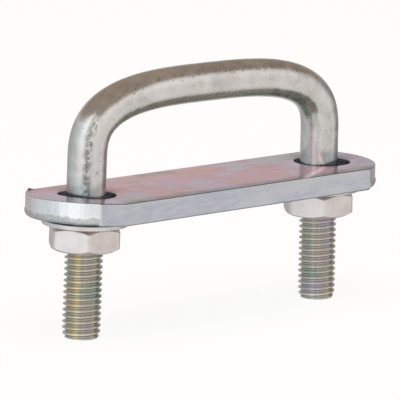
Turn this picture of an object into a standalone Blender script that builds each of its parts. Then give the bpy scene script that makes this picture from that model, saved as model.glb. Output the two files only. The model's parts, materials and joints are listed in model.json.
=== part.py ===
"""Two-legged pad eye: a threaded U-bolt through a sheared steel plate, with a washer and a nut on each leg.

Metres, +Z up. The origin is on the plate's underside, midway between the U-bolt's legs, which are apart
along X. The eye is above the plate and the threaded studs are below it. The U-bolt stands a little off square in
the plate's wide holes, and each leg leans out from where its bend starts, so what is on a leg is modelled along +Z
and then placed on the leg.
Blender 4.5: blender --background --python part.py
"""

import math

import bmesh
import bpy
import numpy as np
from mathutils import Matrix, Vector

# U-bolt: 10 mm round bar with M10 x 1.5 right-hand threads.
ROD_RADIUS = 0.005
LEG_SPACING = 0.0801  # at the start of the bends
LEG_LEAN = math.radians(1.0)
BOLT_TILT = math.radians(0.4)  # towards +X
PLATE_THICKNESS = 0.0058
ARCH_RISE = 0.02526  # plate top to the bar's centreline at mid-span
ARCH_START = 0.00756  # plate top to where the legs begin to bend
ARCH_POWER = 3.1  # 2 is an ellipse; more is squarer
ARCH_RINGS = 42
ARCH_SAMPLES = 4001  # points that the arch's length is measured with
ROD_SIDES = 16
STUD_END_Z = {"left": -0.03104, "right": -0.03044}  # on the leg

# Thread.
PITCH = 0.0015
THREAD_RADIUS = 0.00493
THREAD_DEPTH = 0.0008
THREAD_TOP_Z = -0.00084
THREAD_FADE = 0.0015
THREAD_START = {"left": 0.0, "right": 0.42}  # share of a pitch that the helix is higher
THREAD_CLEARANCE = 0.00022
# Share of a pitch, and share of the depth cut there: root from 0 to 0.25, crest from 0.56 to 0.69.
THREAD_PROFILE = ((0.0, 1.0), (0.25, 1.0), (0.56, 0.0), (0.69, 0.0))
STUD_TIP_RADIUS = 0.0041
STUD_TIP_LENGTH = 0.0022

# Plate: flat bar with rounded long edges, sheared to an arc at each end. Its middle line is at PLATE_SHIFT_Y, which
# the arcs' and the holes' centres are measured from.
PLATE_WIDTH = 0.0295
PLATE_SHIFT_Y = -0.0006
PLATE_END_RADII = {"left": 0.0185, "right": 0.0195}
PLATE_END_CENTRES = {"left": (-0.0365, 0.0), "right": (0.0362, 0.0029)}
PLATE_END_SEGMENTS = 12
PLATE_TOP_EDGE = 0.0004
PLATE_LOWER_EDGE = 0.0008
PLATE_FLAT_HALF_LENGTH = 0.024
PLATE_BELLY = 0.00003  # the rolled long edges bulge by this much at the middle of the bar
HOLE_RADIUS = 0.0075
HOLE_CENTRES = ((-0.0392, 0.0014), (0.0420, 0.0013))
HOLE_SEGMENTS = 32
HOLE_RIM = 0.0003

# Washers and nuts.
WASHER_TOP_Z = {"left": -0.00064, "right": -0.00002}  # on the leg
WASHER_OUTER_RADIUS = 0.011
WASHER_INNER_RADIUS = 0.00535
WASHER_THICKNESS = 0.0012
WASHER_EDGE = 0.00025
WASHER_SIDES = 36
NUT_GAP = 0.00015  # left between a washer and its nut
NUT_ACROSS_FLATS = 0.017
NUT_HEIGHT = 0.0065
NUT_FACE_RADIUS = 0.0077
NUT_CHAMFER_ANGLE = math.radians(30)
NUT_BORE_MOUTH_RADIUS = 0.0056
NUT_SIDES = 24
NUT_TURN = math.radians(-3)  # from a corner on +X

SHARP_ANGLE = math.radians(35)  # edges bent more than this are shaded sharp


def clear_scene():
    for obj in list(bpy.data.objects):
        bpy.data.objects.remove(obj, do_unlink=True)


def material(name, colour, roughness):
    made = bpy.data.materials.new(name)
    made.use_nodes = True
    shader = made.node_tree.nodes["Principled BSDF"]
    shader.inputs["Base Color"].default_value = (*colour, 1)
    shader.inputs["Metallic"].default_value = 1.0
    shader.inputs["Roughness"].default_value = roughness
    return made


def finish_object(name, bm, look, place=None):
    """Turns a bmesh into an object, and puts it at place."""
    bmesh.ops.recalc_face_normals(bm, faces=bm.faces)
    mesh = bpy.data.meshes.new(name)
    bm.to_mesh(mesh)
    bm.free()
    mesh.shade_smooth()
    mesh.set_sharp_from_angle(angle=SHARP_ANGLE)
    mesh.materials.append(look)
    obj = bpy.data.objects.new(name, mesh)
    if place:
        obj.matrix_world = place
    bpy.context.scene.collection.objects.link(obj)


def bridge(bm, lower, upper):
    """Joins two rings of the same number of vertices."""
    count = len(lower)
    for i in range(count):
        after = (i + 1) % count
        bm.faces.new((lower[i], lower[after], upper[after], upper[i]))


def ring_of(bm, angles, radii, heights):
    return [
        bm.verts.new((radius * math.cos(angle), radius * math.sin(angle), height))
        for angle, radius, height in zip(angles, radii, heights)
    ]


def bolt_place():
    """Takes an upright U-bolt's coordinates to the world's, turning about the middle of the plate's top."""
    plate_top = Matrix.Translation((0, 0, PLATE_THICKNESS))
    return plate_top @ Matrix.Rotation(BOLT_TILT, 4, "Y") @ plate_top.inverted()


def leg_place(side):
    """Takes a leg's own coordinates, with its axis on Z, to the world's, turning about the start of the bend."""
    outward = {"left": -1, "right": 1}[side]
    bend_z = PLATE_THICKNESS + ARCH_START
    bend = Matrix.Translation((outward * LEG_SPACING / 2, 0, bend_z))
    lean = Matrix.Rotation(-outward * LEG_LEAN, 4, "Y")
    return bolt_place() @ bend @ lean @ Matrix.Translation((0, 0, -bend_z))


# ---- threads ----


def helical_skin(bm, side, place, angles, low_z, high_z, radius_at):
    """The threaded surface of one side's leg or nut, in the leg's own coordinates and then put at place.

    Its rows of vertices follow the helix, so that crests stay sharp: they rise by PITCH in one turn of angle.
    Where they pass low_z or high_z they are cut off level. radius_at(cut, z) gives the radius where the thread
    is cut to this share of its depth. Returns the level rings at low_z and at high_z.
    """
    rise = [PITCH * (angle / math.tau + THREAD_START[side]) for angle in angles]
    first = math.floor((low_z - max(rise)) / PITCH) - 1
    last = math.ceil((high_z - min(rise)) / PITCH) + 1
    rows = [
        (turn * PITCH + share * PITCH, cut)
        for turn in range(first, last + 1)
        for share, cut in THREAD_PROFILE
    ]
    made = {}

    def vertex(column, row):
        offset, cut = rows[min(max(row, 0), len(rows) - 1)]
        z = min(max(offset + rise[column], low_z), high_z)
        key = (column, round(z, 8))
        if key not in made:
            radius = radius_at(cut, z)
            angle = angles[column]
            point = Vector((radius * math.cos(angle), radius * math.sin(angle), z))
            made[key] = bm.verts.new(place @ point)
        return made[key]

    per_turn = len(THREAD_PROFILE) * (1 if angles[1] > angles[0] else -1)
    for column in range(len(angles)):
        after = (column + 1) % len(angles)
        shift = per_turn if after == 0 else 0
        for row in range(-len(THREAD_PROFILE), len(rows) + len(THREAD_PROFILE)):
            corners = (
                vertex(column, row),
                vertex(after, row + shift),
                vertex(after, row + 1 + shift),
                vertex(column, row + 1),
            )
            face = list(dict.fromkeys(corners))
            if len(face) > 2:
                bm.faces.new(face)
    low = [made[column, round(low_z, 8)] for column in range(len(angles))]
    high = [made[column, round(high_z, 8)] for column in range(len(angles))]
    return low, high


# ---- U-bolt ----


def arch_centreline():
    """Points (x, z), evenly spaced, from the left leg over the arch to the right leg, and their tangents."""
    turn = np.linspace(0, math.pi, ARCH_SAMPLES)
    across, up = np.cos(turn), np.sin(turn)
    rise = ARCH_RISE - ARCH_START
    x = -LEG_SPACING / 2 * np.sign(across) * np.abs(across) ** (2 / ARCH_POWER)
    z = PLATE_THICKNESS + ARCH_START + rise * np.abs(up) ** (2 / ARCH_POWER)
    length = np.concatenate([[0], np.cumsum(np.hypot(np.diff(x), np.diff(z)))])
    even = np.linspace(0, length[-1], ARCH_RINGS)
    points = np.column_stack([np.interp(even, length, x), np.interp(even, length, z)])
    tangents = np.gradient(points, axis=0)
    tangents[0], tangents[-1] = (0, 1), (0, -1)
    return points, tangents / np.linalg.norm(tangents, axis=1, keepdims=True)


def stud(bm, side, angles):
    """One threaded leg up to the start of its plain shank. Returns the ring there."""
    end_z = STUD_END_Z[side]

    def radius_at(cut, z):
        fade = min(max((THREAD_TOP_Z - z) / THREAD_FADE, 0), 1)
        plain = ROD_RADIUS + (THREAD_RADIUS - ROD_RADIUS) * fade
        tip = min((z - end_z) / STUD_TIP_LENGTH, 1)
        point = STUD_TIP_RADIUS + (THREAD_RADIUS - STUD_TIP_RADIUS) * tip if tip < 1 else plain
        return min(plain - THREAD_DEPTH * cut * fade, point)

    place = leg_place(side)
    low, high = helical_skin(bm, side, place, angles, end_z, THREAD_TOP_Z, radius_at)
    bm.faces.new(low)
    return high


def make_u_bolt(look):
    bm = bmesh.new()
    columns = [math.tau * i / ROD_SIDES for i in range(ROD_SIDES)]
    ring = stud(bm, "left", [math.pi / 2 + column for column in columns])
    right_ring = stud(bm, "right", [math.pi / 2 - column for column in columns])
    points, tangents = arch_centreline()
    place = bolt_place()
    for (x, z), (along_x, along_z) in zip(points, tangents):
        # Across the bar, one direction is +Y and the other is square to the centreline.
        next_ring = []
        for column in columns:
            across = ROD_RADIUS * math.cos(column)
            outward = ROD_RADIUS * math.sin(column)
            point = Vector((x - outward * along_z, across, z + outward * along_x))
            next_ring.append(bm.verts.new(place @ point))
        bridge(bm, ring, next_ring)
        ring = next_ring
    bridge(bm, ring, right_ring)
    finish_object("u_bolt", bm, look)


# ---- plate ----


def end_arc(side, inset):
    """Points along one sheared end, set in by inset, anticlockwise."""
    outward = {"left": -1, "right": 1}[side]
    half = PLATE_WIDTH / 2 - inset
    radius = PLATE_END_RADII[side] - inset
    centre_x, centre_y = PLATE_END_CENTRES[side]
    start, end = (math.asin((edge_y - centre_y) / radius) for edge_y in (-half, half))
    arc = [
        (centre_x + outward * radius * math.cos(a), centre_y + radius * math.sin(a))
        for a in np.linspace(start, end, PLATE_END_SEGMENTS + 1)
    ]
    return arc[::outward]


def plate_outline(inset):
    """The plate's outline, set in by inset, anticlockwise from near the left end's front corner.

    Returns the points and the places in the list of the four points that bound the flat middle.
    """
    middle = PLATE_FLAT_HALF_LENGTH
    belly = PLATE_WIDTH / 2 - inset + PLATE_BELLY
    points = [(-middle, -belly), (middle, -belly)]
    points += end_arc("right", inset)
    points += [(middle, belly), (-middle, belly)]
    points += end_arc("left", inset)
    ends = (0, 1, PLATE_END_SEGMENTS + 3, PLATE_END_SEGMENTS + 4)
    return points, ends


def plate_loops(bm, points_at):
    """Rings of vertices up the side of the plate, for a shape that points_at(inset) gives."""
    mid_arc = PLATE_LOWER_EDGE * (1 - math.sqrt(0.5))  # from either face to the middle of the rounded edge
    levels = (
        (0.0, PLATE_LOWER_EDGE),
        (mid_arc, mid_arc),
        (PLATE_LOWER_EDGE, 0.0),
        (PLATE_THICKNESS - PLATE_TOP_EDGE, 0.0),
        (PLATE_THICKNESS, PLATE_TOP_EDGE),
    )
    return [
        [bm.verts.new((x, y + PLATE_SHIFT_Y, z)) for x, y in points_at(inset)]
        for z, inset in levels
    ]


def hole_rings(bm, centre):
    """Rings of vertices up the wall of one hole, wider at both faces."""
    centre_x, centre_y = centre
    angles = [math.tau * i / HOLE_SEGMENTS for i in range(HOLE_SEGMENTS)]
    levels = (
        (0.0, HOLE_RIM),
        (HOLE_RIM, 0.0),
        (PLATE_THICKNESS - HOLE_RIM, 0.0),
        (PLATE_THICKNESS, HOLE_RIM),
    )
    return [
        [
            bm.verts.new(
                (
                    centre_x + (HOLE_RADIUS + wider) * math.cos(angle),
                    PLATE_SHIFT_Y + centre_y + (HOLE_RADIUS + wider) * math.sin(angle),
                    z,
                )
            )
            for angle in angles
        ]
        for z, wider in levels
    ]


def plate_face(bm, outline, ends, holes):
    """One flat side of the plate: a plain middle and, beyond it, an end around each hole."""
    low_left, low_right, high_right, high_left = (outline[i] for i in ends)
    bm.faces.new((low_left, low_right, high_right, high_left))
    right_side = outline[ends[1] : ends[2] + 1]
    left_side = outline[ends[3] :] + outline[:1]
    for side, hole in zip((left_side, right_side), holes):
        edges = [bm.edges.get((a, b)) for a, b in zip(side, side[1:])]
        edges.append(bm.edges.get((side[0], side[-1])))
        edges += [bm.edges.get((a, b)) for a, b in zip(hole, hole[1:] + hole[:1])]
        bmesh.ops.triangle_fill(bm, edges=edges, use_beauty=True)


def make_plate(look):
    bm = bmesh.new()
    ends = plate_outline(0.0)[1]
    walls = plate_loops(bm, lambda inset: plate_outline(inset)[0])
    holes = [hole_rings(bm, centre) for centre in HOLE_CENTRES]
    for rings in [walls, *holes]:
        for lower, upper in zip(rings, rings[1:]):
            bridge(bm, lower, upper)
    plate_face(bm, walls[0], ends, [rings[0] for rings in holes])
    plate_face(bm, walls[-1], ends, [rings[-1] for rings in holes])
    finish_object("plate", bm, look)


# ---- washers and nuts ----


def make_washer(side, look):
    profile = (
        (WASHER_INNER_RADIUS, -WASHER_THICKNESS),
        (WASHER_OUTER_RADIUS - WASHER_EDGE, -WASHER_THICKNESS),
        (WASHER_OUTER_RADIUS, WASHER_EDGE - WASHER_THICKNESS),
        (WASHER_OUTER_RADIUS, -WASHER_EDGE),
        (WASHER_OUTER_RADIUS - WASHER_EDGE, 0.0),
        (WASHER_INNER_RADIUS, 0.0),
    )
    bm = bmesh.new()
    angles = [math.tau * i / WASHER_SIDES for i in range(WASHER_SIDES)]
    rings = [
        ring_of(bm, angles, [radius] * WASHER_SIDES, [z] * WASHER_SIDES)
        for radius, z in profile
    ]
    for ring, after in zip(rings, rings[1:] + rings[:1]):
        bridge(bm, ring, after)
    top = Matrix.Translation((0, 0, WASHER_TOP_Z[side]))
    finish_object(f"{side}_washer", bm, look, leg_place(side) @ top)


def make_nut(side, look):
    """A hexagon nut, chamfered on both sides, whose thread is in mesh with the leg's."""
    top = WASHER_TOP_Z[side] - WASHER_THICKNESS - NUT_GAP
    bottom = top - NUT_HEIGHT
    angles = [NUT_TURN + math.tau * i / NUT_SIDES for i in range(NUT_SIDES)]
    # From a flat's middle, the hexagon's radius grows as 1 / cos of the angle.
    to_flat = [(angle - NUT_TURN) % (math.tau / 6) - math.tau / 12 for angle in angles]
    hexagon = [NUT_ACROSS_FLATS / 2 / math.cos(angle) for angle in to_flat]
    drop = [(radius - NUT_FACE_RADIUS) * math.tan(NUT_CHAMFER_ANGLE) for radius in hexagon]
    between = 1 / math.cos(math.pi / NUT_SIDES)  # a side's middle is nearer the axis than its ends

    def bore_radius(cut, z):
        thread = (THREAD_RADIUS + THREAD_CLEARANCE - THREAD_DEPTH * cut) * between
        mouth = NUT_BORE_MOUTH_RADIUS - min(z - bottom, top - z)
        return max(thread, mouth)

    bm = bmesh.new()
    bore_low, bore_high = helical_skin(bm, side, Matrix(), angles, bottom, top, bore_radius)
    face = [NUT_FACE_RADIUS] * NUT_SIDES
    outside = (
        bore_low,
        ring_of(bm, angles, face, [bottom] * NUT_SIDES),
        ring_of(bm, angles, hexagon, [bottom + z for z in drop]),
        ring_of(bm, angles, hexagon, [top - z for z in drop]),
        ring_of(bm, angles, face, [top] * NUT_SIDES),
        bore_high,
    )
    for ring, after in zip(outside, outside[1:]):
        bridge(bm, ring, after)
    finish_object(f"{side}_nut", bm, look, leg_place(side))


def build():
    clear_scene()
    zinc = material("zinc_plated_bar", (0.62, 0.62, 0.57), 0.30)
    passivated = material("iridescent_zinc_plate", (0.60, 0.53, 0.55), 0.32)
    stainless = material("satin_stainless", (0.72, 0.69, 0.67), 0.28)
    make_u_bolt(zinc)
    make_plate(passivated)
    for side in ("left", "right"):
        make_washer(side, stainless)
        make_nut(side, stainless)


build()
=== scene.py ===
"""The looks of a two-legged pad eye.

A zinc-plated U-bolt stands in an iridescent sheared plate, with satin washers and nuts below it.
"""

import json
import math

import bmesh
import bpy
import numpy as np
from mathutils import Matrix, Vector, noise


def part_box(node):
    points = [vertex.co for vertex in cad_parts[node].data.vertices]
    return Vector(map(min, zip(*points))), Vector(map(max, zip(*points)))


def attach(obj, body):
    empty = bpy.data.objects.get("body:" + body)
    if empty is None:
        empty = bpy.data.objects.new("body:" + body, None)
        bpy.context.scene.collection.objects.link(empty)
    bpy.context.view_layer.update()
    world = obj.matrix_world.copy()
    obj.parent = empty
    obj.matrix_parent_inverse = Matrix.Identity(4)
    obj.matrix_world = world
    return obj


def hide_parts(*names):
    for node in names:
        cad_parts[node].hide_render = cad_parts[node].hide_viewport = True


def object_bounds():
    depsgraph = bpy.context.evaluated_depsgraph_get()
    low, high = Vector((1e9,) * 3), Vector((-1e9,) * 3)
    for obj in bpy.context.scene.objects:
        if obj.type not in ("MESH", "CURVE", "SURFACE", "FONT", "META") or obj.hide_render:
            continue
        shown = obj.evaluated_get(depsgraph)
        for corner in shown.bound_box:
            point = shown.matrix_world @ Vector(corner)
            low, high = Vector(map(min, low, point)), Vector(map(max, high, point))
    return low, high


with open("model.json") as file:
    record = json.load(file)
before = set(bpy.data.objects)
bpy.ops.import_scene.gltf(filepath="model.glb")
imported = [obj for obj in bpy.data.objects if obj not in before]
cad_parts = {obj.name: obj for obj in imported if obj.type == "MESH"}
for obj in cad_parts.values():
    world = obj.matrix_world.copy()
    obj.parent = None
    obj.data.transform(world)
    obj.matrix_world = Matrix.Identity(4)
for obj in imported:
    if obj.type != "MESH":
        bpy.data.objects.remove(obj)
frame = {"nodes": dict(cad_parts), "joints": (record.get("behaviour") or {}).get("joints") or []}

CAD_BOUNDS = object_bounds()
SIDES = ("left", "right")
JOINTS = {joint["name"]: joint for joint in frame["joints"]}

# Read from the frame, in metres.
PLATE_LOW, PLATE_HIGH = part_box("plate")
BOLT_LOW, BOLT_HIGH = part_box("u_bolt")
PLATE_TOP = PLATE_HIGH.z
PLATE_HALF_WIDTH = (PLATE_HIGH.y - PLATE_LOW.y) / 2
PLATE_MIDDLE_Y = (PLATE_HIGH.y + PLATE_LOW.y) / 2
ROD_RADIUS = (BOLT_HIGH.y - BOLT_LOW.y) / 2

# U-bolt.
BEND_START = 0.00756  # above the plate's top
ARCH_POWER = 3.1
ARCH_RINGS = 220
ARCH_SAMPLES = 8001
ROD_SIDES = 64

# Thread, M10 x 1.5. Its profile repeats up the leg, with the crest's middle at CREST_SHARE of a pitch.
PITCH = 0.0015
THREAD_RADIUS = 0.00493
THREAD_DEPTH = 0.0009
THREAD_TOP = -0.00084  # in the leg's own coordinates
THREAD_FADE = 0.0015
THREAD_START = {"left": 0.0, "right": 0.42}  # of a turn
CREST_SHARE = 0.625
CREST_HALF_WIDTH = 0.065
FLANK_WIDTH = 0.31
FLANK_BLEND = 0.22  # share of the flank over which a crest or a root turns into it
THREAD_ROWS = 12
STUD_TIP_RADIUS = 0.0041
STUD_TIP_LENGTH = 0.0022
END_HOLLOW = ((0.97, 0.00004), (0.7, 0.00010), (0.35, 0.00012))  # share of the end's radius, and height

# Plate.
PLATE_END_RADII = {"left": 0.0185, "right": 0.0195}
PLATE_END_CENTRES_Y = {"left": 0.0, "right": 0.0029}  # from the middle line
PLATE_END_SEGMENTS = 96
PLATE_SIDE_SEGMENTS = 60
PLATE_WALL_ROWS = 16
PLATE_TOP_EDGE = 0.0004
PLATE_END_TOP_EDGE = 0.00018
PLATE_LOWER_EDGE = 0.0007
PLATE_END_LOWER_EDGE = 0.0015
BENT_UP = 0.00095  # the shear bent up the left end's front part by this much
BENT_X = (-0.0385, -0.0490)  # where the bend begins, and where it is full
BENT_Y = (0.0140, -0.0080)
EDGE_STEPS = 5
FLAT_RIM = 0.0003  # a ring of the flat faces next to their rounded edges
SHEAR_CORNER = 0.03  # share of an end over which the shear marks begin
SHEAR_LINE_DEPTH = 0.00005
FRACTURE_SHARE = 0.36  # of the thickness, torn and not cut
FRACTURE_WAVES = ((0.45, 3.1, 0.10), (1.6, 9.7, 0.05))  # per millimetre, seed, and share of the thickness
FRACTURE_BLEND = 0.05  # share of the thickness either side
FRACTURE_SHIFT = {"left": 0.0, "right": 7.3}  # so that the two ends differ
FRACTURE_FLARE = 0.00018
FRACTURE_DEPTH = 0.00007
BURR_HEIGHT = 0.0004
BURR_LENGTH = 0.035  # share of the end
PLATE_SIDE_TO_END = 2.5  # a side is this much longer than an end
HOLE_RADIUS = 0.0075
HOLE_CENTRES = ((-0.0392, 0.0014), (0.0420, 0.0013))  # from the middle line
HOLE_SEGMENTS = 96
HOLE_ROLL = 0.0002  # the punch rolls the top edge in
HOLE_BREAK = 0.00035  # and breaks the lower edge out
HOLE_RING = 0.0002  # a ring next to each of its edges
HOLE_PROFILE = (  # z, and how much wider than the hole, below the rolled edge
    (0.0, HOLE_BREAK + HOLE_RING),
    (0.00004, HOLE_BREAK),
    (0.0016, 0.00006),
    (0.0022, 0.0),
    (PLATE_TOP - HOLE_ROLL - HOLE_RING, 0.0),
)
DISH_WIDTH = 0.0048  # the punch dishes the top round the hole
DISH_DEPTH = 0.00012
DISH_RINGS = 10

# Washers and nuts.
WASHER_INNER_RADIUS = 0.00535
WASHER_EDGE = 0.0003
WASHER_SEGMENTS = 120
NUT_ACROSS_FLATS = 0.017
NUT_CORNER_RADIUS = 0.0011
NUT_FACE_RADIUS = 0.0077
NUT_CHAMFER_ANGLE = math.radians(30)
NUT_BORE_MOUTH = 0.0056
NUT_THREAD_DEPTH = 0.0008
NUT_THREAD_CLEARANCE = 0.0002
NUT_SEGMENTS = 144
NUT_TURN = math.radians(-3)  # of one corner
NUT_EDGE = 0.00018

# Looks. A band is two places, in metres: where something begins to show, and where it shows fully.
THREADED_BAND = (-0.0003, -0.0014)  # z
THREAD_ROOT_SHADE_BAND = (THREAD_RADIUS - 0.45 * THREAD_DEPTH, THREAD_RADIUS - 0.95 * THREAD_DEPTH)  # radius over which painted shade darkens the thread roots
GOLD_HIGHLIGHT_TURN = 1.2  # radians, from the bar's front towards its outer side, where the threads get a painted golden highlight
GOLD_HIGHLIGHT_HALF_WIDTH = (0.50, 0.05)
PAINTED_LINE_TURN = (0.55, 0.85)  # the painted dark reflection line, pitted along its length, drifts between these
PAINTED_LINE_HALF_WIDTH = (0.34, 0.04)
PAINTED_LINE_BAND = (0.030, 0.022)  # z, over which the painted dark reflection line grows darker downwards
FILM_TINT = (1.0, 0.75, 0.83)
BACK_BAND = (-0.006, 0.010)  # y
PEACH_BAND = (0.012, -0.012)  # x
LILAC_BAND = (0.010, 0.026)
END_BAND = (0.030, 0.043)  # distance from the middle
BARE_SIDE_BAND = (0.012, -0.004)  # y
FRONT_STRIP_BAND = (PLATE_LOW.y + 0.0048, PLATE_LOW.y + 0.0010)
PAINTED_STREAK_START = (0.0354, -0.0072)  # where a painted reflection streak begins beside the right hole: the right leg's highlight, as a slight fold there mirrors it
PAINTED_STREAK_SLOPE = 0.54
PAINTED_STREAK_HALF_WIDTH = (0.0017, 0.0002)
PAINTED_STREAK_BAND = (0.018, 0.024)  # x
PAINTED_STREAK_FADE = 0.002

# Camera.
CAMERA_TARGET = (0.00038, 0, 0.00016)  # in the U-bolt's coordinates
CAMERA_TURN = math.radians(41.79)
CAMERA_DIP = math.radians(10.73)
CAMERA_TILT = math.radians(1.58)
CAMERA_DISTANCE = 1.0407
CAMERA_OFFSET = (-0.00149, -0.00595)  # across and up
SENSOR_WIDTH = 36
CAMERA_LENS = 362.4

# Studio. The wall round the object: azimuth from +X, tone, and elevation where it ends, angles in degrees.
WALL = (
    (0, (0.28, 0.29, 0.28), 14),
    (20, (0.40, 0.41, 0.40), 14),
    (48, (0.77, 0.76, 0.76), 14),
    (62, (0.52, 0.51, 0.50), 18),
    (95, (0.48, 0.49, 0.49), 22),
    (112, (0.54, 0.57, 0.57), 26),
    (140, (0.62, 0.67, 0.68), 34),
    (160, (0.66, 0.71, 0.73), 41),
    (174, (0.88, 0.93, 0.95), 46),
    (186, (1.04, 1.07, 1.08), 52),
    (200, (1.04, 1.06, 1.07), 55),
    (211, (0.88, 0.89, 0.89), 55),
    (219, (0.66, 0.66, 0.65), 53),
    (224, (0.70, 0.70, 0.69), 50),
    (232, (0.92, 0.91, 0.89), 45),
    (240, (0.96, 0.95, 0.93), 41),
    (248, (0.84, 0.82, 0.80), 38),
    (285, (0.80, 0.77, 0.75), 37),
    (304, (0.74, 0.71, 0.69), 38),
    (320, (0.86, 0.83, 0.81), 41),
    (330, (0.70, 0.68, 0.66), 42),
    (340, (0.50, 0.49, 0.47), 34),
    (350, (0.32, 0.32, 0.31), 18),
    (360, (0.28, 0.29, 0.28), 14),
)
CEILING_TONE = (0.33, 0.265, 0.215)
WALL_RISE = (-5, 35)  # degrees of elevation over which the wall's strength goes from foot to head
WALL_FOOT = 0.96
WALL_HEAD = 1.17
WALL_EDGE_SOFTNESS = 2.5  # degrees either side
ROOM_RADIUS = 1.5
ROOM_COLUMNS = 180
ROOM_ROWS = 120
FLOOR_SIZE = 8.0
FLOOR_GLOW = 0.91
FLOOR_DIFFUSE = 0.15
LAMP_ENERGY = 12.0
LAMP_SIZE = 2.0
LAMP_PLACE = (-0.3, -0.4, 1.8)


# ---- mesh helpers ----


def new_object(name, mesh):
    obj = bpy.data.objects.new(name, mesh)
    bpy.context.scene.collection.objects.link(obj)
    return obj


def piece(name, bm, look, body, node, weighted=True):
    """A finished piece, made of a bmesh, that stands for one CAD node and moves with its body."""
    bmesh.ops.recalc_face_normals(bm, faces=bm.faces)
    mesh = bpy.data.meshes.new(name)
    bm.to_mesh(mesh)
    bm.free()
    mesh.shade_smooth()
    mesh.materials.append(look)
    obj = new_object(name, mesh)
    if weighted:
        # Flat faces keep their own normals, so that only the rounded edges between them catch the light.
        modifier = obj.modifiers.new("flat_faces_lead", "WEIGHTED_NORMAL")
        modifier.weight = 100
    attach(obj, body)
    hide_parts(node)
    return obj


def bridge(bm, lower, upper):
    """Faces between two closed rings of as many vertices."""
    count = len(lower)
    for i in range(count):
        after = (i + 1) % count
        bm.faces.new((lower[i], lower[after], upper[after], upper[i]))


def rounded(profile, reach, steps=4):
    """A run of (radius, z) points whose inner corners become curves that start and end reach away."""
    made = [profile[0]]
    for before, corner, after in zip(profile, profile[1:], profile[2:]):
        start, middle, end = (Vector(p) for p in (before, corner, after))
        from_point = middle + (start - middle).normalized() * min(reach, (start - middle).length / 2)
        to_point = middle + (end - middle).normalized() * min(reach, (end - middle).length / 2)
        for i in range(steps + 1):
            t = i / steps
            point = from_point * (1 - t) ** 2 + middle * (2 * t * (1 - t)) + to_point * t**2
            made.append(tuple(point))
    return made + [profile[-1]]


def full_turn(count):
    """Angles of as many even steps once round."""
    return [math.tau * i / count for i in range(count)]


def quarter_turn(steps):
    """Angles from 0 to a right angle, both ends among them."""
    return [math.pi / 2 * i / steps for i in range(steps + 1)]


def around(radius, angle, z):
    return Vector((radius * math.cos(angle), radius * math.sin(angle), z))


def placed(axes, origin):
    """The matrix that takes coordinates along these axes, from this origin, to the frame the axes are in."""
    place = Matrix(axes).transposed().to_4x4()
    place.translation = origin
    return place


def smooth_step(low, high, value):
    """0 at low, 1 at high, and smooth between them."""
    t = min(max((value - low) / (high - low), 0.0), 1.0)
    return t * t * (3 - 2 * t)


# ---- legs ----


def leg_place(side):
    """Takes a leg's own coordinates, with its axis on Z, to the row frame's."""
    joint = JOINTS[f"{side}_nut_turn"]
    up = -Vector(joint["axis"])
    across = Vector((0, 1, 0))
    return placed((across.cross(up), across, up), Vector(joint["pos_m"]))


LEGS = {side: leg_place(side) for side in SIDES}


def bolt_place():
    """Takes the upright U-bolt's coordinates, from the middle of the plate's top, to the row frame's."""
    up = (LEGS["left"].col[2] + LEGS["right"].col[2]).to_3d().normalized()
    across = Vector((0, 1, 0))
    return placed((across.cross(up), across, up), Vector((0, 0, PLATE_TOP)))


BOLT = bolt_place()


def extent_on_leg(node, side):
    """Lowest and highest point along a leg, and greatest distance from it, of a CAD node on that side."""
    to_leg = LEGS[side].inverted()
    outward = {"left": -1, "right": 1}[side]
    points = [to_leg @ v.co for v in frame["nodes"][node].data.vertices if v.co.x * outward > 0]
    heights = [p.z for p in points]
    return min(heights), max(heights), max(math.hypot(p.x, p.y) for p in points)


# ---- threads ----


def soft_ramp(x, blend):
    """0 below 0 and 1 above 1, with both corners rounded over blend."""

    def area(value):
        return 0.0 if value < 0 else value * value / 2 if value < 1 else value - 0.5

    return (area(x + blend) - area(x - blend)) / (2 * blend)


def thread_cut(share):
    """Share of the thread's depth that is cut at this share of a pitch."""
    from_crest = abs((share - CREST_SHARE + 0.5) % 1 - 0.5)
    return soft_ramp((from_crest - CREST_HALF_WIDTH) / FLANK_WIDTH, FLANK_BLEND)


def helical_skin(bm, side, angles, low_z, high_z, radius_at, on_vertex=None):
    """The threaded surface of one side's leg or nut. Its rows of vertices follow the helix.

    Where rows pass low_z or high_z they are cut off level. radius_at(cut, z) gives the radius.
    Returns the level rings at low_z and at high_z.
    """
    profile = [(i / THREAD_ROWS, thread_cut(i / THREAD_ROWS)) for i in range(THREAD_ROWS)]
    rise = [PITCH * (angle / math.tau + THREAD_START[side]) for angle in angles]
    first = math.floor((low_z - max(rise)) / PITCH) - 1
    last = math.ceil((high_z - min(rise)) / PITCH) + 1
    turns = range(first, last + 1)
    rows = [(turn * PITCH + share * PITCH, cut) for turn in turns for share, cut in profile]
    made = {}

    def vertex(column, row):
        offset, cut = rows[min(max(row, 0), len(rows) - 1)]
        z = min(max(offset + rise[column], low_z), high_z)
        key = (column, round(z, 8))
        if key not in made:
            point = around(radius_at(cut, z), angles[column], z)
            made[key] = bm.verts.new(LEGS[side] @ point)
            if on_vertex:
                on_vertex(made[key], point, column)
        return made[key]

    per_turn = THREAD_ROWS * (1 if angles[1] > angles[0] else -1)
    for column in range(len(angles)):
        after = (column + 1) % len(angles)
        shift = per_turn if after == 0 else 0
        for row in range(-THREAD_ROWS, len(rows) + THREAD_ROWS):
            corners = (
                vertex(column, row),
                vertex(after, row + shift),
                vertex(after, row + 1 + shift),
                vertex(column, row + 1),
            )
            face = list(dict.fromkeys(corners))
            if len(face) > 2:
                bm.faces.new(face)
    columns = range(len(angles))
    return [made[c, round(low_z, 8)] for c in columns], [made[c, round(high_z, 8)] for c in columns]


# ---- U-bolt ----


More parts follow.
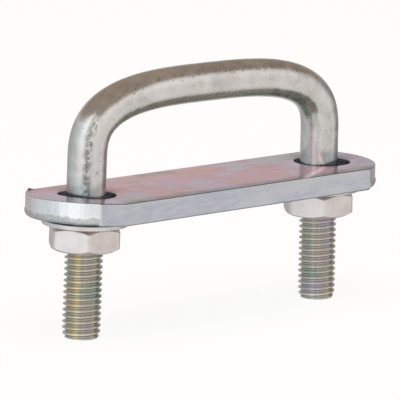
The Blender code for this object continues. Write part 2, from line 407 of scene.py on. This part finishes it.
def arch_centreline():
    """Points (x, z), tangents and lengths, evenly spaced, from the left leg over the arch to the right."""
    to_bolt = BOLT.inverted()
    leg = to_bolt @ LEGS["right"]
    half = leg.translation.x + (BEND_START - leg.translation.z) * leg[0][2] / leg[2][2]
    arch_top = max((to_bolt @ v.co).z for v in frame["nodes"]["u_bolt"].data.vertices) - ROD_RADIUS
    turn = np.linspace(0, math.pi, ARCH_SAMPLES)
    across, up = np.cos(turn), np.sin(turn)
    x = -half * np.sign(across) * np.abs(across) ** (2 / ARCH_POWER)
    z = BEND_START + (arch_top - BEND_START) * np.abs(up) ** (2 / ARCH_POWER)
    length = np.concatenate([[0], np.cumsum(np.hypot(np.diff(x), np.diff(z)))])
    even = np.linspace(0, length[-1], ARCH_RINGS)
    points = np.column_stack([np.interp(even, length, x), np.interp(even, length, z)])
    tangents = np.gradient(points, axis=0)
    tangents[0], tangents[-1] = (0, 1), (0, -1)
    return points, tangents / np.linalg.norm(tangents, axis=1, keepdims=True), even


def make_u_bolt(look):
    """One bar: the left stud, the arch and the right stud.

    The attribute bar_place keeps where each vertex is on the straightened bar: along, across and outward.
    """
    bm = bmesh.new()
    bar_place = bm.verts.layers.float_vector.new("bar_place")
    columns = full_turn(ROD_SIDES)
    points, tangents, lengths = arch_centreline()

    def stud(side, angles):
        end_z = extent_on_leg("u_bolt", side)[0]

        def radius_at(cut, z):
            fade = min(max((THREAD_TOP - z) / THREAD_FADE, 0), 1)
            plain = ROD_RADIUS + (THREAD_RADIUS - ROD_RADIUS) * fade
            threaded = plain - THREAD_DEPTH * cut * fade
            tip = (z - end_z) / STUD_TIP_LENGTH
            if tip >= 1:
                return threaded
            return min(threaded, STUD_TIP_RADIUS + (THREAD_RADIUS - STUD_TIP_RADIUS) * math.sqrt(tip))

        def keep_place(vertex, point, column):
            along = point.z - PLATE_TOP - BEND_START
            along = along if side == "left" else lengths[-1] - along
            radius, turn = math.hypot(point.x, point.y), columns[column]
            vertex[bar_place] = (along, radius * math.cos(turn), radius * math.sin(turn))

        low, high = helical_skin(bm, side, angles, end_z, THREAD_TOP, radius_at, keep_place)
        close_end(bm, low, bar_place)
        return high

    ring = stud("left", [math.pi / 2 + column for column in columns])
    right_ring = stud("right", [math.pi / 2 - column for column in columns])
    for (x, z), (along_x, along_z), length in zip(points, tangents, lengths):
        next_ring = []
        for column in columns:
            across, outward = ROD_RADIUS * math.cos(column), ROD_RADIUS * math.sin(column)
            vertex = bm.verts.new(BOLT @ Vector((x - outward * along_z, across, z + outward * along_x)))
            vertex[bar_place] = (length, across, outward)
            next_ring.append(vertex)
        bridge(bm, ring, next_ring)
        ring = next_ring
    bridge(bm, ring, right_ring)
    piece("zinc_bar", bm, look, "u_bolt", "u_bolt", weighted=False)


def close_end(bm, rim, bar_place):
    """The stud's sawn end: flat, a little hollow in the middle."""
    centre = sum((v.co for v in rim), Vector()) / len(rim)
    ring = rim
    for share, hollow in END_HOLLOW:
        inner = []
        for vertex in rim:
            made = bm.verts.new(centre + (vertex.co - centre) * share + Vector((0, 0, hollow)))
            made[bar_place] = vertex[bar_place] * share
            inner.append(made)
        bridge(bm, inner, ring)
        ring = inner
    bm.faces.new(ring)


# ---- plate ----


def end_arc(side, inset):
    """Centre, radius, and first and last angle from the outward axis, of a sheared end set in by inset."""
    radius = PLATE_END_RADII[side]
    centre_x = PLATE_LOW.x + radius if side == "left" else PLATE_HIGH.x - radius
    centre_y = PLATE_END_CENTRES_Y[side]
    half = PLATE_HALF_WIDTH - inset
    first, last = (math.asin((edge - centre_y) / (radius - inset)) for edge in (-half, half))
    return centre_x, centre_y, radius - inset, first, last


def corner_x(side, inset, last):
    """X of a corner between a sheared end and the front, or the back if last is set."""
    centre_x, _, radius, *angles = end_arc(side, inset)
    outward = {"left": -1, "right": 1}[side]
    return centre_x + outward * radius * math.cos(angles[last])


def outline_point(part, share, inset):
    """A point of the outline, set in by inset. share goes from 0 to 1 along each part, anticlockwise."""
    half = PLATE_HALF_WIDTH - inset
    if part in ("front", "back"):
        left, right = (corner_x(side, inset, part == "back") for side in SIDES)
        if part == "front":
            return left + (right - left) * share, -half
        return right + (left - right) * share, half
    centre_x, centre_y, radius, first, last = end_arc(part, inset)
    if part == "right":
        angle = first + (last - first) * share
        return centre_x + radius * math.cos(angle), centre_y + radius * math.sin(angle)
    angle = last + (first - last) * share
    return centre_x - radius * math.cos(angle), centre_y + radius * math.sin(angle)


def plate_columns():
    """(part, share) of each column of vertices, anticlockwise from the front's left corner."""
    counts = (
        ("front", PLATE_SIDE_SEGMENTS),
        ("right", PLATE_END_SEGMENTS),
        ("back", PLATE_SIDE_SEGMENTS),
        ("left", PLATE_END_SEGMENTS),
    )
    return [(part, i / count) for part, count in counts for i in range(count)]


def sheared(part, share):
    """1 on the sheared ends, falling to 0 at their corners with the rolled long sides."""
    if part in ("front", "back"):
        return 0.0
    return smooth_step(0, SHEAR_CORNER, share) * smooth_step(0, SHEAR_CORNER, 1 - share)


def millimetres_along(share):
    """Distance along a sheared end, nearly, for the noises that mark it."""
    return share * 2 * PLATE_HALF_WIDTH * 1000


def fracture_height(part, share):
    """Where the shear's smooth upper zone gives way to the torn lower one, as a share of the thickness."""
    along, shift = millimetres_along(share), FRACTURE_SHIFT[part]
    waves = [noise.noise((along * pace + shift, seed, 0)) * reach for pace, seed, reach in FRACTURE_WAVES]
    return FRACTURE_SHARE + sum(waves)


def two_noises(coarse, fine, fine_share):
    return noise.noise(coarse) + fine_share * noise.noise(fine)


def shear_offset(part, share, height):
    """How far the sheared wall stands out at this share of the thickness, and how torn it is there."""
    amount = sheared(part, share)
    if amount == 0:
        return 0.0, 0.0
    along = millimetres_along(share)
    torn = 1 - smooth_step(-FRACTURE_BLEND, FRACTURE_BLEND, height - fracture_height(part, share))
    # The cut zone has upright score lines, and the torn one an even grain.
    lines = two_noises((along * 1.9, 0.4, height * 0.5), (along * 5.2, 5.5, height * 0.8), 0.6)
    rough = two_noises((along * 1.4, height * 4.0, 1.7), (along * 3.7, height * 9.0, 4.2), 0.5)
    stand_out = SHEAR_LINE_DEPTH * lines * (1 - torn) + torn * (FRACTURE_FLARE + FRACTURE_DEPTH * rough)
    return amount * stand_out, amount * torn


def plate_levels(part, share):
    """(z, inset) up the side for one column, from the flat rim below, over both roundings, to the top."""
    low = PLATE_LOWER_EDGE + (PLATE_END_LOWER_EDGE - PLATE_LOWER_EDGE) * sheared(part, share)
    high = PLATE_TOP_EDGE + (PLATE_END_TOP_EDGE - PLATE_TOP_EDGE) * sheared(part, share)
    turns = quarter_turn(EDGE_STEPS)
    wall = PLATE_TOP - low - high
    levels = [(0.0, low + FLAT_RIM)]
    levels += [(low * (1 - math.cos(turn)), low * (1 - math.sin(turn))) for turn in turns]
    levels += [(low + wall * i / PLATE_WALL_ROWS, 0.0) for i in range(1, PLATE_WALL_ROWS)]
    levels += [(PLATE_TOP - high * (1 - math.sin(turn)), high * (1 - math.cos(turn))) for turn in turns]
    levels += [(PLATE_TOP, high + FLAT_RIM)]
    return levels


def bent_up(x, y):
    """How far the shear lifted this place, with y from the middle line."""
    return BENT_UP * smooth_step(*BENT_X, x) * smooth_step(*BENT_Y, y)


def burr(part, share):
    """Height of the burr that the shear left at the left end's back corner."""
    distance = {"left": share, "back": (1 - share) * PLATE_SIDE_TO_END}.get(part, 1)
    return BURR_HEIGHT * max(0, 1 - distance / BURR_LENGTH) ** 2


def plate_wall(bm, wear):
    """Rings of vertices from the underside, up the side, to the top.

    The layer wear keeps how sheared and how torn each vertex is.
    """
    columns = plate_columns()
    levels = [plate_levels(part, share) for part, share in columns]
    rings = []
    for level in range(len(levels[0])):
        ring = []
        for (part, share), column in zip(columns, levels):
            z, inset = column[level]
            rim = level in (0, len(column) - 1)
            offset, torn = (0.0, 0.0) if rim else shear_offset(part, share, z / PLATE_TOP)
            x, y = outline_point(part, share, inset - offset * smooth_step(0, PLATE_LOWER_EDGE, z))
            lift = 0 if rim else burr(part, share) * smooth_step(0.5, 1, z / PLATE_TOP)
            vertex = bm.verts.new((x, y + PLATE_MIDDLE_Y, z + lift + bent_up(x, y)))
            vertex[wear] = (sheared(part, share), torn, 0)
            ring.append(vertex)
        rings.append(ring)
    return rings


def hole_profile():
    """(z, how much wider than the hole) up its wall, over the rolled edge and out over the dished top."""
    profile = list(HOLE_PROFILE)
    rim_z = PLATE_TOP - DISH_DEPTH
    for turn in quarter_turn(EDGE_STEPS):
        profile.append((rim_z - HOLE_ROLL * (1 - math.sin(turn)), HOLE_ROLL * (1 - math.cos(turn))))
    for i in range(1, DISH_RINGS + 1):
        share = i / DISH_RINGS
        profile.append((PLATE_TOP - DISH_DEPTH * (1 - share) ** 2, HOLE_ROLL + DISH_WIDTH * share))
    return profile


def hole_wall(bm, centre):
    """Rings of vertices up a punched hole and out over the dished top round it."""
    centre_x, centre_y = centre
    rings = []
    for z, wider in hole_profile():
        ring = []
        radius = HOLE_RADIUS + wider
        for angle in full_turn(HOLE_SEGMENTS):
            x, y = centre_x + radius * math.cos(angle), centre_y + radius * math.sin(angle)
            ring.append(bm.verts.new((x, y + PLATE_MIDDLE_Y, z + bent_up(x, y))))
        rings.append(ring)
    return rings


def fill_between(bm, outline, holes):
    """Triangles inside the outline, around the holes."""
    edges = []
    for loop in (outline, *holes):
        edges += [bm.edges.get((a, b)) for a, b in zip(loop, loop[1:] + loop[:1])]
    bmesh.ops.triangle_fill(bm, edges=edges, use_beauty=True)


def make_plate(look):
    """The sheared bar with its two punched holes."""
    bm = bmesh.new()
    wear = bm.verts.layers.float_vector.new("wear")
    wall = plate_wall(bm, wear)
    holes = [hole_wall(bm, centre) for centre in HOLE_CENTRES]
    for rings in (wall, *holes):
        for lower, upper in zip(rings, rings[1:]):
            bridge(bm, lower, upper)
    fill_between(bm, wall[0], [rings[0] for rings in holes])
    fill_between(bm, wall[-1], [rings[-1] for rings in holes])
    piece("sheared_plate", bm, look, "plate", "plate")


# ---- washers and nuts ----


def turned(bm, side, profile, segments):
    """A closed (radius, z) profile turned about the leg."""
    rings = []
    for radius, z in profile:
        points = [around(radius, angle, z) for angle in full_turn(segments)]
        rings.append([bm.verts.new(LEGS[side] @ point) for point in points])
    for ring, after in zip(rings, rings[1:] + rings[:1]):
        bridge(bm, ring, after)


def make_washer(side, look):
    """A thin round washer with rounded edges."""
    low, high, outer = extent_on_leg(f"{side}_washer", side)
    inner = WASHER_INNER_RADIUS
    middle = (inner, (low + high) / 2)
    profile = [middle, (inner, low), (outer, low), (outer, high), (inner, high), middle]
    bm = bmesh.new()
    turned(bm, side, rounded(profile, WASHER_EDGE)[:-1], WASHER_SEGMENTS)
    piece(f"{side}_flat_washer", bm, look, f"{side}_washer", f"{side}_washer")


def hexagon_radius(angle):
    """Radius of the hexagon with rounded corners, at this angle from the middle of a flat."""
    sixth = math.tau / 6
    flat = NUT_ACROSS_FLATS / 2
    from_flat = abs((angle + sixth / 2) % sixth - sixth / 2)
    if flat * math.tan(from_flat) < (flat - NUT_CORNER_RADIUS) * math.tan(sixth / 2):
        return flat / math.cos(from_flat)
    centre = (flat - NUT_CORNER_RADIUS) / math.cos(sixth / 2)
    from_corner = sixth / 2 - from_flat
    aside = centre * math.sin(from_corner)
    return centre * math.cos(from_corner) + math.sqrt(NUT_CORNER_RADIUS**2 - aside**2)


def make_nut(side, look):
    """A hexagon nut, chamfered on both sides, whose thread is in mesh with the leg's."""
    low, high, _ = extent_on_leg(f"{side}_nut", side)
    middle = (low + high) / 2
    angles = [NUT_TURN + angle for angle in full_turn(NUT_SEGMENTS)]

    def bore_radius(cut, z):
        thread = THREAD_RADIUS + NUT_THREAD_CLEARANCE - NUT_THREAD_DEPTH * cut
        return max(thread, NUT_BORE_MOUTH - min(z - low, high - z))

    bm = bmesh.new()
    bore_low, bore_high = helical_skin(bm, side, angles, low, high, bore_radius)
    columns = []
    for angle in angles:
        outer = hexagon_radius(angle - NUT_TURN - math.tau / 12)
        drop = (outer - NUT_FACE_RADIUS) * math.tan(NUT_CHAMFER_ANGLE)
        profile = [(NUT_BORE_MOUTH, low), (NUT_FACE_RADIUS, low), (outer, low + drop), (outer, middle)]
        half = rounded(profile, NUT_EDGE)[1:]
        mirrored = [(radius, low + high - z) for radius, z in reversed(half[:-1])]
        columns.append(half + mirrored)
    ring = bore_low
    for level in range(len(columns[0])):
        next_ring = []
        for angle, column in zip(angles, columns):
            radius, z = column[level]
            next_ring.append(bm.verts.new(LEGS[side] @ around(radius, angle, z)))
        bridge(bm, ring, next_ring)
        ring = next_ring
    bridge(bm, ring, bore_high)
    piece(f"{side}_hexagon_nut", bm, look, f"{side}_nut", f"{side}_nut")


# ---- materials ----


class Look:
    """A Principled material, with short calls for the nodes that its maps are made of."""

    def __init__(self, name, **values):
        self.material = bpy.data.materials.new(name)
        self.material.use_nodes = True
        self.tree = self.material.node_tree
        self.shader = self.tree.nodes["Principled BSDF"]
        for socket, value in values.items():
            self.shader.inputs[socket.replace("_", " ")].default_value = value
        self.coords = self.tree.nodes.new("ShaderNodeTexCoord")

    def node(self, kind, *sources, **settings):
        """A node whose first inputs are the sources, each an output or a plain value."""
        made = self.tree.nodes.new(f"ShaderNode{kind}")
        for setting, value in settings.items():
            setattr(made, setting, value)
        for socket, source in zip(made.inputs, sources):
            self.feed(socket, source)
        return made

    def feed(self, socket, source):
        if isinstance(source, bpy.types.NodeSocket):
            self.tree.links.new(source, socket)
        elif source is not None:
            socket.default_value = source

    def attribute(self, name):
        return self.node("Attribute", attribute_name=name).outputs["Vector"]

    def stretched(self, vector, scale):
        return self.node("VectorMath", vector, scale, operation="MULTIPLY").outputs[0]

    def parts(self, vector):
        return self.node("SeparateXYZ", vector).outputs

    def noise(self, vector, scale, detail=2.0, roughness=0.5, distortion=0.0):
        made = self.node("TexNoise")
        sockets = {"Vector": vector, "Scale": scale, "Detail": detail, "Roughness": roughness}
        for socket, source in {**sockets, "Distortion": distortion}.items():
            self.feed(made.inputs[socket], source)
        return made.outputs["Fac"]

    def math(self, operation, *values):
        return self.node("Math", *values, operation=operation).outputs[0]

    def plus(self, first, second):
        return self.math("ADD", first, second)

    def minus(self, first, second):
        return self.math("SUBTRACT", first, second)

    def times(self, first, second):
        return self.math("MULTIPLY", first, second)

    def apart(self, first, second):
        return self.math("ABSOLUTE", self.minus(first, second))

    def between(self, value, low, high, to_low=0.0, to_high=1.0):
        """value from low to high, smoothly taken to to_low to to_high."""
        made = self.node("MapRange", value, low, high, to_low, to_high, interpolation_type="SMOOTHSTEP")
        return made.outputs[0]

    def mix(self, share, first, second):
        made = self.node("Mix", data_type="RGBA")
        for index, source in ((0, share), (6, first), (7, second)):
            self.feed(made.inputs[index], colour(source))
        return made.outputs[2]

    def ramp(self, share, *stops):
        """A colour ramp whose stops are (place, tone)."""
        made = self.node("ValToRGB", share)
        elements = made.color_ramp.elements
        while len(elements) < len(stops):
            elements.new(0.5)
        for element, (place, tone) in zip(elements, stops):
            element.position = place
            element.color = colour(tone)
        return made.outputs["Color"]

    def bump(self, height, distance, onto=None):
        made = self.node("Bump")
        for socket, source in {"Height": height, "Distance": distance, "Normal": onto}.items():
            self.feed(made.inputs[socket], source)
        return made.outputs["Normal"]

    def finish(self, base, roughness, normal):
        self.feed(self.shader.inputs["Base Color"], base)
        self.feed(self.shader.inputs["Roughness"], roughness)
        self.feed(self.shader.inputs["Normal"], normal)
        return self.material


def colour(tone):
    """A tone of three numbers with an alpha of 1; anything else is returned as it is."""
    return (*tone, 1.0) if isinstance(tone, tuple) and len(tone) == 3 else tone


def thread_tones_and_painted_light(look, place, height, mottle, turn):
    """Where the bar is threaded, and its tones there: clouded, with a painted golden highlight along one
    side and painted shade in the roots.
    """
    across, outward = look.parts(place)[1:]
    threaded = look.between(height, *THREADED_BAND)
    tint_and_painted_light = look.ramp(
        look.noise(look.stretched(place, (1.0, 0.6, 0.6)), 170, 2, 0.5),
        (0.36, (0.54, 0.62, 0.58)),
        (0.46, (0.74, 0.73, 0.64)),
        (0.55, (0.78, 0.72, 0.66)),
        (0.66, (0.72, 0.69, 0.76)),
    )
    # A painted golden highlight down one side of the threads, broken up by the mottling.
    painted_highlight_stripe = look.between(look.apart(turn, GOLD_HIGHLIGHT_TURN), *GOLD_HIGHLIGHT_HALF_WIDTH)
    painted_gold_highlight = look.times(painted_highlight_stripe, look.between(mottle, 0.36, 0.58, 0.3, 1.0))
    tint_and_painted_light = look.mix(look.times(painted_gold_highlight, 0.85), tint_and_painted_light, (0.98, 0.77, 0.42))
    # Painted shade in the thread roots, darkest at their deepest.
    squares = [look.math("POWER", part, 2.0) for part in (across, outward)]
    radius = look.math("SQRT", look.plus(*squares))
    painted_root_shade = look.between(radius, *THREAD_ROOT_SHADE_BAND)
    return threaded, look.mix(look.times(painted_root_shade, 0.62), tint_and_painted_light, (0.28, 0.28, 0.25))


def painted_dark_line(look, place, height, turn):
    """A painted dark reflection line, pitted along it, with loose pitting elsewhere; the line drifts between
    the bar's front and its outer side.
    """
    drift = look.noise(look.stretched(place, (1.0, 0.0, 0.0)), 120, 2, 0.5)
    off_line = look.apart(turn, look.between(drift, 0.2, 0.8, *PAINTED_LINE_TURN))
    near_line = look.between(off_line, *PAINTED_LINE_HALF_WIDTH)
    speckle = look.noise(look.stretched(place, (0.7, 1.0, 1.0)), 1700, 3, 0.75)
    # Pitting crowds along the painted dark reflection line, and loose pitting lies everywhere.
    pits_on_painted_line = look.between(look.plus(speckle, look.times(near_line, 0.10)), 0.655, 0.72)
    loose_pits = look.between(look.noise(place, 1500, 2, 0.6), 0.71, 0.77)
    pits_and_painted_line = look.math("MAXIMUM", pits_on_painted_line, loose_pits)
    # The painted dark reflection line itself, darker further down.
    painted_dark_reflection = look.times(near_line, look.between(look.noise(place, 520, 3, 0.7), 0.38, 0.58))
    return look.times(painted_dark_reflection, look.between(height, *PAINTED_LINE_BAND, 0.2, 1.0)), pits_and_painted_line


def zinc_bar_look():
    """Bright zinc on drawn bar: faint draw lines, mottling, a painted dark reflection line with pitting, and
    tinted threads with a painted golden highlight and painted shade in their roots.
    """
    look = Look("zinc_on_drawn_bar", Metallic=1.0)
    place = look.attribute("bar_place")
    across, outward = look.parts(place)[1:]
    height = look.parts(look.coords.outputs["Object"])[2]
    turn = look.math("ARCTAN2", outward, look.times(across, -1.0))

    mottle = look.noise(place, 330, 3, 0.6)
    patches = look.noise(place, 95, 2, 0.5)
    fine = look.noise(place, 2600, 3, 0.65)
    lines = look.noise(look.stretched(place, (0.05, 1.0, 1.0)), 1500, 2, 0.6)
    plain = look.ramp(
        look.plus(look.times(mottle, 0.6), look.times(patches, 0.4)),
        (0.40, (0.64, 0.63, 0.605)),
        (0.50, (0.76, 0.745, 0.733)),
        (0.60, (0.84, 0.815, 0.81)),
    )
    olive = look.between(look.noise(place, 160, 3, 0.6), 0.46, 0.62)
    plain = look.mix(look.times(olive, 0.30), plain, (0.68, 0.69, 0.62))
    threaded, tint_and_painted_light = thread_tones_and_painted_light(look, place, height, mottle, turn)
    base = look.mix(threaded, plain, tint_and_painted_light)

    unthreaded = look.minus(1.0, threaded)
    painted_dark_reflection, pits_and_painted_line = painted_dark_line(look, place, height, turn)
    pits_and_painted_line = look.times(pits_and_painted_line, unthreaded)
    # Painted dark reflection line, kept off the threads.
    base = look.mix(look.times(painted_dark_reflection, unthreaded), base, (0.34, 0.33, 0.31))
    # Dark pitting, which also paints the dark reflection line.
    base = look.mix(look.times(pits_and_painted_line, 0.85), base, (0.20, 0.19, 0.165))

    roughness = look.plus(look.between(mottle, 0.3, 0.7, 0.20, 0.30), look.times(pits_and_painted_line, 0.30))
    normal = look.bump(mottle, 0.00006)
    normal = look.bump(lines, 0.000006, normal)
    normal = look.bump(fine, 0.0000045, normal)
    normal = look.bump(look.minus(1.0, pits_and_painted_line), 0.000015, normal)
    return look.finish(base, roughness, normal)


def film_tone_and_painted_streak(look, where, clouds):
    """The passivated film on the flat faces: mauve, peach and lilac clouds, grey towards the ends, and a
    painted reflection streak beside the right hole.
    """
    x, y = look.parts(where)[:2]
    from_middle = look.math("ABSOLUTE", x)
    streaks = look.noise(look.stretched(where, (0.14, 1.0, 1.0)), 420, 3, 0.6)
    thickness = look.plus(look.times(clouds, 0.80), look.times(streaks, 0.20))
    # It is thicker, so peach, at the back left of the middle, and thinner, so lilac, at the back right.
    to_back = look.between(y, *BACK_BAND)
    peach = look.times(look.between(x, *PEACH_BAND), to_back)
    lilac = look.times(look.between(x, *LILAC_BAND), to_back)
    to_end = look.between(from_middle, *END_BAND)
    thickness = look.plus(thickness, look.times(look.minus(peach, lilac), 0.07))
    thickness = look.minus(thickness, look.times(to_end, 0.06))
    film = look.ramp(
        thickness,
        (0.36, (0.36, 0.67, 0.55)),
        (0.42, (0.49, 0.67, 0.70)),
        (0.48, (0.59, 0.56, 0.61)),
        (0.54, (0.69, 0.64, 0.58)),
        (0.60, (0.76, 0.72, 0.56)),
        (0.68, (0.53, 0.69, 0.54)),
    )
    grey = look.ramp(
        clouds,
        (0.40, (0.40, 0.66, 0.66)),
        (0.52, (0.44, 0.65, 0.67)),
        (0.62, (0.50, 0.62, 0.68)),
    )
    bare_side = look.between(y, *BARE_SIDE_BAND, 0.35, 1.0)
    film = look.mix(look.times(to_end, bare_side), film, grey)
    front_strip = look.between(y, *FRONT_STRIP_BAND)
    film = look.mix(look.times(front_strip, 0.85), film, (0.14, 0.34, 0.28))
    # A painted white reflection streak beside the right hole.
    return look.mix(painted_reflection_streak(look, x, y), film, (1.0, 1.0, 1.0))


def painted_reflection_streak(look, x, y):
    """Share of the painted reflection streak beside the right hole, which runs out to the front edge: the
    right leg's highlight as a slight fold there mirrors it.
    """
    streak_x, streak_y = PAINTED_STREAK_START
    run = look.times(look.minus(x, streak_x), PAINTED_STREAK_SLOPE)
    off_streak = look.apart(look.minus(y, streak_y), run)
    streak_share = look.times(look.between(off_streak, *PAINTED_STREAK_HALF_WIDTH), look.between(x, *PAINTED_STREAK_BAND))
    return look.times(streak_share, look.between(x, streak_x + PAINTED_STREAK_FADE, streak_x))


def side_tone(look, where, grain, grooves, cut_end, torn):
    """Blue-grey on the long edges; on the sheared ends bright scored metal above and a grey tear below."""
    stains = look.noise(look.stretched(where, (0.3, 1.0, 1.0)), 130, 2, 0.5)
    edge = look.ramp(grain, (0.35, (0.57, 0.61, 0.69)), (0.65, (0.67, 0.70, 0.78)))
    edge = look.mix(look.between(stains, 0.45, 0.62, 0.0, 0.6), edge, (0.72, 0.735, 0.76))
    scored = look.ramp(
        grooves,
        (0.34, (0.80, 0.86, 0.89)),
        (0.46, (0.96, 0.98, 1.0)),
        (0.60, (1.0, 1.0, 1.0)),
    )
    rough = look.noise(where, 1500, 3, 0.6)
    tear = look.ramp(rough, (0.35, (0.56, 0.58, 0.57)), (0.65, (0.74, 0.75, 0.74)))
    return look.mix(cut_end, edge, look.mix(torn, scored, tear))


def zinc_plate_look():
    """Zinc on flat bar: an iridescent film on the flat faces with a painted reflection streak, plainer
    edges, and a few dark specks.
    """
    look = Look("iridescent_zinc_on_plate", Metallic=1.0, Specular_Tint=colour(FILM_TINT))
    where = look.coords.outputs["Object"]
    flatness = look.math("ABSOLUTE", look.parts(look.coords.outputs["Normal"])[2])
    is_flat = look.between(flatness, 0.55, 0.9)
    cut_end, torn = look.parts(look.attribute("wear"))[:2]

    clouds = look.noise(look.stretched(where, (0.55, 1.0, 1.0)), 150, 3, 0.55, 0.8)
    grain = look.noise(look.stretched(where, (0.25, 1.0, 1.0)), 900, 3, 0.6)
    grooves = look.noise(look.stretched(where, (1.0, 1.0, 0.16)), 900, 4, 0.7)
    fine = look.noise(where, 2300, 3, 0.6)
    side = side_tone(look, where, grain, grooves, cut_end, torn)
    base = look.mix(is_flat, side, film_tone_and_painted_streak(look, where, clouds))
    specks = look.between(look.noise(where, 900, 2, 0.7), 0.735, 0.765)
    base = look.mix(look.times(specks, 0.8), base, (0.16, 0.15, 0.14))

    side_roughness = look.between(fine, 0.3, 0.7, 0.24, 0.36)
    film_roughness = look.between(clouds, 0.3, 0.7, 0.16, 0.24)
    roughness = look.mix(is_flat, side_roughness, film_roughness)
    roughness = look.plus(roughness, look.times(torn, 0.18))
    normal = look.bump(look.noise(where, 140, 2, 0.5), 0.00008)
    normal = look.bump(grain, 0.000008, normal)
    normal = look.bump(fine, 0.000003, normal)
    normal = look.bump(look.times(grooves, cut_end), 0.000016, normal)
    return look.finish(base, roughness, normal)


def nut_look():
    """Satin stainless steel, with a fine sand-like grain and a few soft stains."""
    look = Look("satin_nut_steel", Metallic=1.0)
    where = look.coords.outputs["Object"]
    stains = look.noise(where, 260, 3, 0.55)
    fine = look.noise(where, 3200, 3, 0.7)
    base = look.ramp(
        stains,
        (0.32, (0.76, 0.70, 0.68)),
        (0.52, (0.85, 0.795, 0.78)),
        (0.70, (0.89, 0.86, 0.85)),
    )
    roughness = look.between(stains, 0.3, 0.7, 0.30, 0.38)
    normal = look.bump(stains, 0.00003)
    normal = look.bump(fine, 0.000005, normal)
    return look.finish(base, roughness, normal)


# ---- studio ----


def emitting(name, tone, strength=1.0, diffuse=0.0):
    """A matt material that glows and has this diffuse grey."""
    made = bpy.data.materials.new(name)
    made.use_nodes = True
    shader = made.node_tree.nodes["Principled BSDF"]
    shader.inputs["Base Color"].default_value = (diffuse, diffuse, diffuse, 1)
    shader.inputs["Specular IOR Level"].default_value = 0.0
    shader.inputs["Roughness"].default_value = 1.0
    shader.inputs["Emission Color"].default_value = colour(tone)
    shader.inputs["Emission Strength"].default_value = strength
    return made


def room_tone(azimuth, elevation):
    """Tone of the studio in a direction given in degrees."""
    places, tones, edges = zip(*WALL)
    wall = np.array([np.interp(azimuth, places, channel) for channel in zip(*tones)])
    edge = np.interp(azimuth, places, edges)
    above = smooth_step(edge - WALL_EDGE_SOFTNESS, edge + WALL_EDGE_SOFTNESS, elevation)
    wall *= WALL_FOOT + (WALL_HEAD - WALL_FOOT) * smooth_step(*WALL_RISE, elevation)
    return wall * (1 - above) + np.array(CEILING_TONE) * above


def make_room():
    """A glowing shell that only reflections show: a wall of softboxes and flags under a dim ceiling."""
    bm = bmesh.new()
    tones = bm.verts.layers.float_color.new("tone")
    rows = []
    for i in range(ROOM_ROWS + 1):
        elevation = 180 * i / ROOM_ROWS - 90
        height, flat = math.sin(math.radians(elevation)), math.cos(math.radians(elevation))
        row = []
        for j in range(ROOM_COLUMNS):
            azimuth = 360 * j / ROOM_COLUMNS
            turn = math.radians(azimuth)
            vertex = bm.verts.new(ROOM_RADIUS * around(flat, turn, height))
            vertex[tones] = (*room_tone(azimuth, elevation), 1)
            row.append(vertex)
        rows.append(row)
    for low, high in zip(rows, rows[1:]):
        bridge(bm, low, high)
    mesh = bpy.data.meshes.new("room")
    bm.to_mesh(mesh)
    bm.free()
    glow = emitting("room_glow", (1, 1, 1))
    tree = glow.node_tree
    tone = tree.nodes.new("ShaderNodeVertexColor")
    tone.layer_name = "tone"
    tree.links.new(tone.outputs["Color"], tree.nodes["Principled BSDF"].inputs["Emission Color"])
    mesh.materials.append(glow)
    room = new_object("room", mesh)
    room.visible_camera = room.visible_diffuse = room.visible_shadow = False


def make_world():
    world = bpy.data.worlds.new("studio")
    bpy.context.scene.world = world
    world.use_nodes = True
    world.node_tree.nodes["Background"].inputs["Color"].default_value = colour(CEILING_TONE)


def make_floor():
    """A pale floor under the stud ends, which reflections leave out."""
    half = FLOOR_SIZE / 2
    mesh = bpy.data.meshes.new("floor")
    corners = [(-half, -half), (half, -half), (half, half), (-half, half)]
    mesh.from_pydata([(x, y, CAD_BOUNDS[0].z) for x, y in corners], [], [(0, 1, 2, 3)])
    mesh.materials.append(emitting("pale_floor", (1, 1, 1), FLOOR_GLOW, FLOOR_DIFFUSE))
    floor = new_object("floor", mesh)
    floor.visible_glossy = False


def make_lamp():
    """A wide soft lamp overhead, for the shadow on the floor."""
    lamp = bpy.data.lights.new("soft_overhead", "AREA")
    lamp.shape = "DISK"
    lamp.size = LAMP_SIZE
    lamp.energy = LAMP_ENERGY
    light = new_object("soft_overhead", lamp)
    light.location = LAMP_PLACE
    light.rotation_euler = Vector(light.location).to_track_quat("Z", "Y").to_euler()
    light.visible_camera = light.visible_glossy = False


def make_camera():
    """Looks down on the front and the left end; its turn and dip are from the U-bolt's own axes."""
    turn, dip, tilt = CAMERA_TURN, CAMERA_DIP, CAMERA_TILT
    forward = Vector((math.sin(turn) * math.cos(dip), math.cos(turn) * math.cos(dip), -math.sin(dip)))
    level = Vector((math.cos(turn), -math.sin(turn), 0))
    upright = level.cross(forward)
    across, shift_up = CAMERA_OFFSET
    eye = Vector(CAMERA_TARGET) - CAMERA_DISTANCE * forward + across * level + shift_up * upright
    right = level * math.cos(tilt) + upright * math.sin(tilt)
    up = upright * math.cos(tilt) - level * math.sin(tilt)
    camera = bpy.data.cameras.new("camera")
    camera.sensor_width = SENSOR_WIDTH
    camera.lens = CAMERA_LENS
    obj = new_object("camera", camera)
    obj.matrix_world = BOLT @ placed((right, up, -forward), eye)
    bpy.context.scene.camera = obj


make_camera()
make_u_bolt(zinc_bar_look())
make_plate(zinc_plate_look())
steel = nut_look()
for side in SIDES:
    make_washer(side, steel)
    make_nut(side, steel)
make_world()
make_room()
make_floor()
make_lamp()
bpy.context.scene.view_settings.view_transform = "Standard"
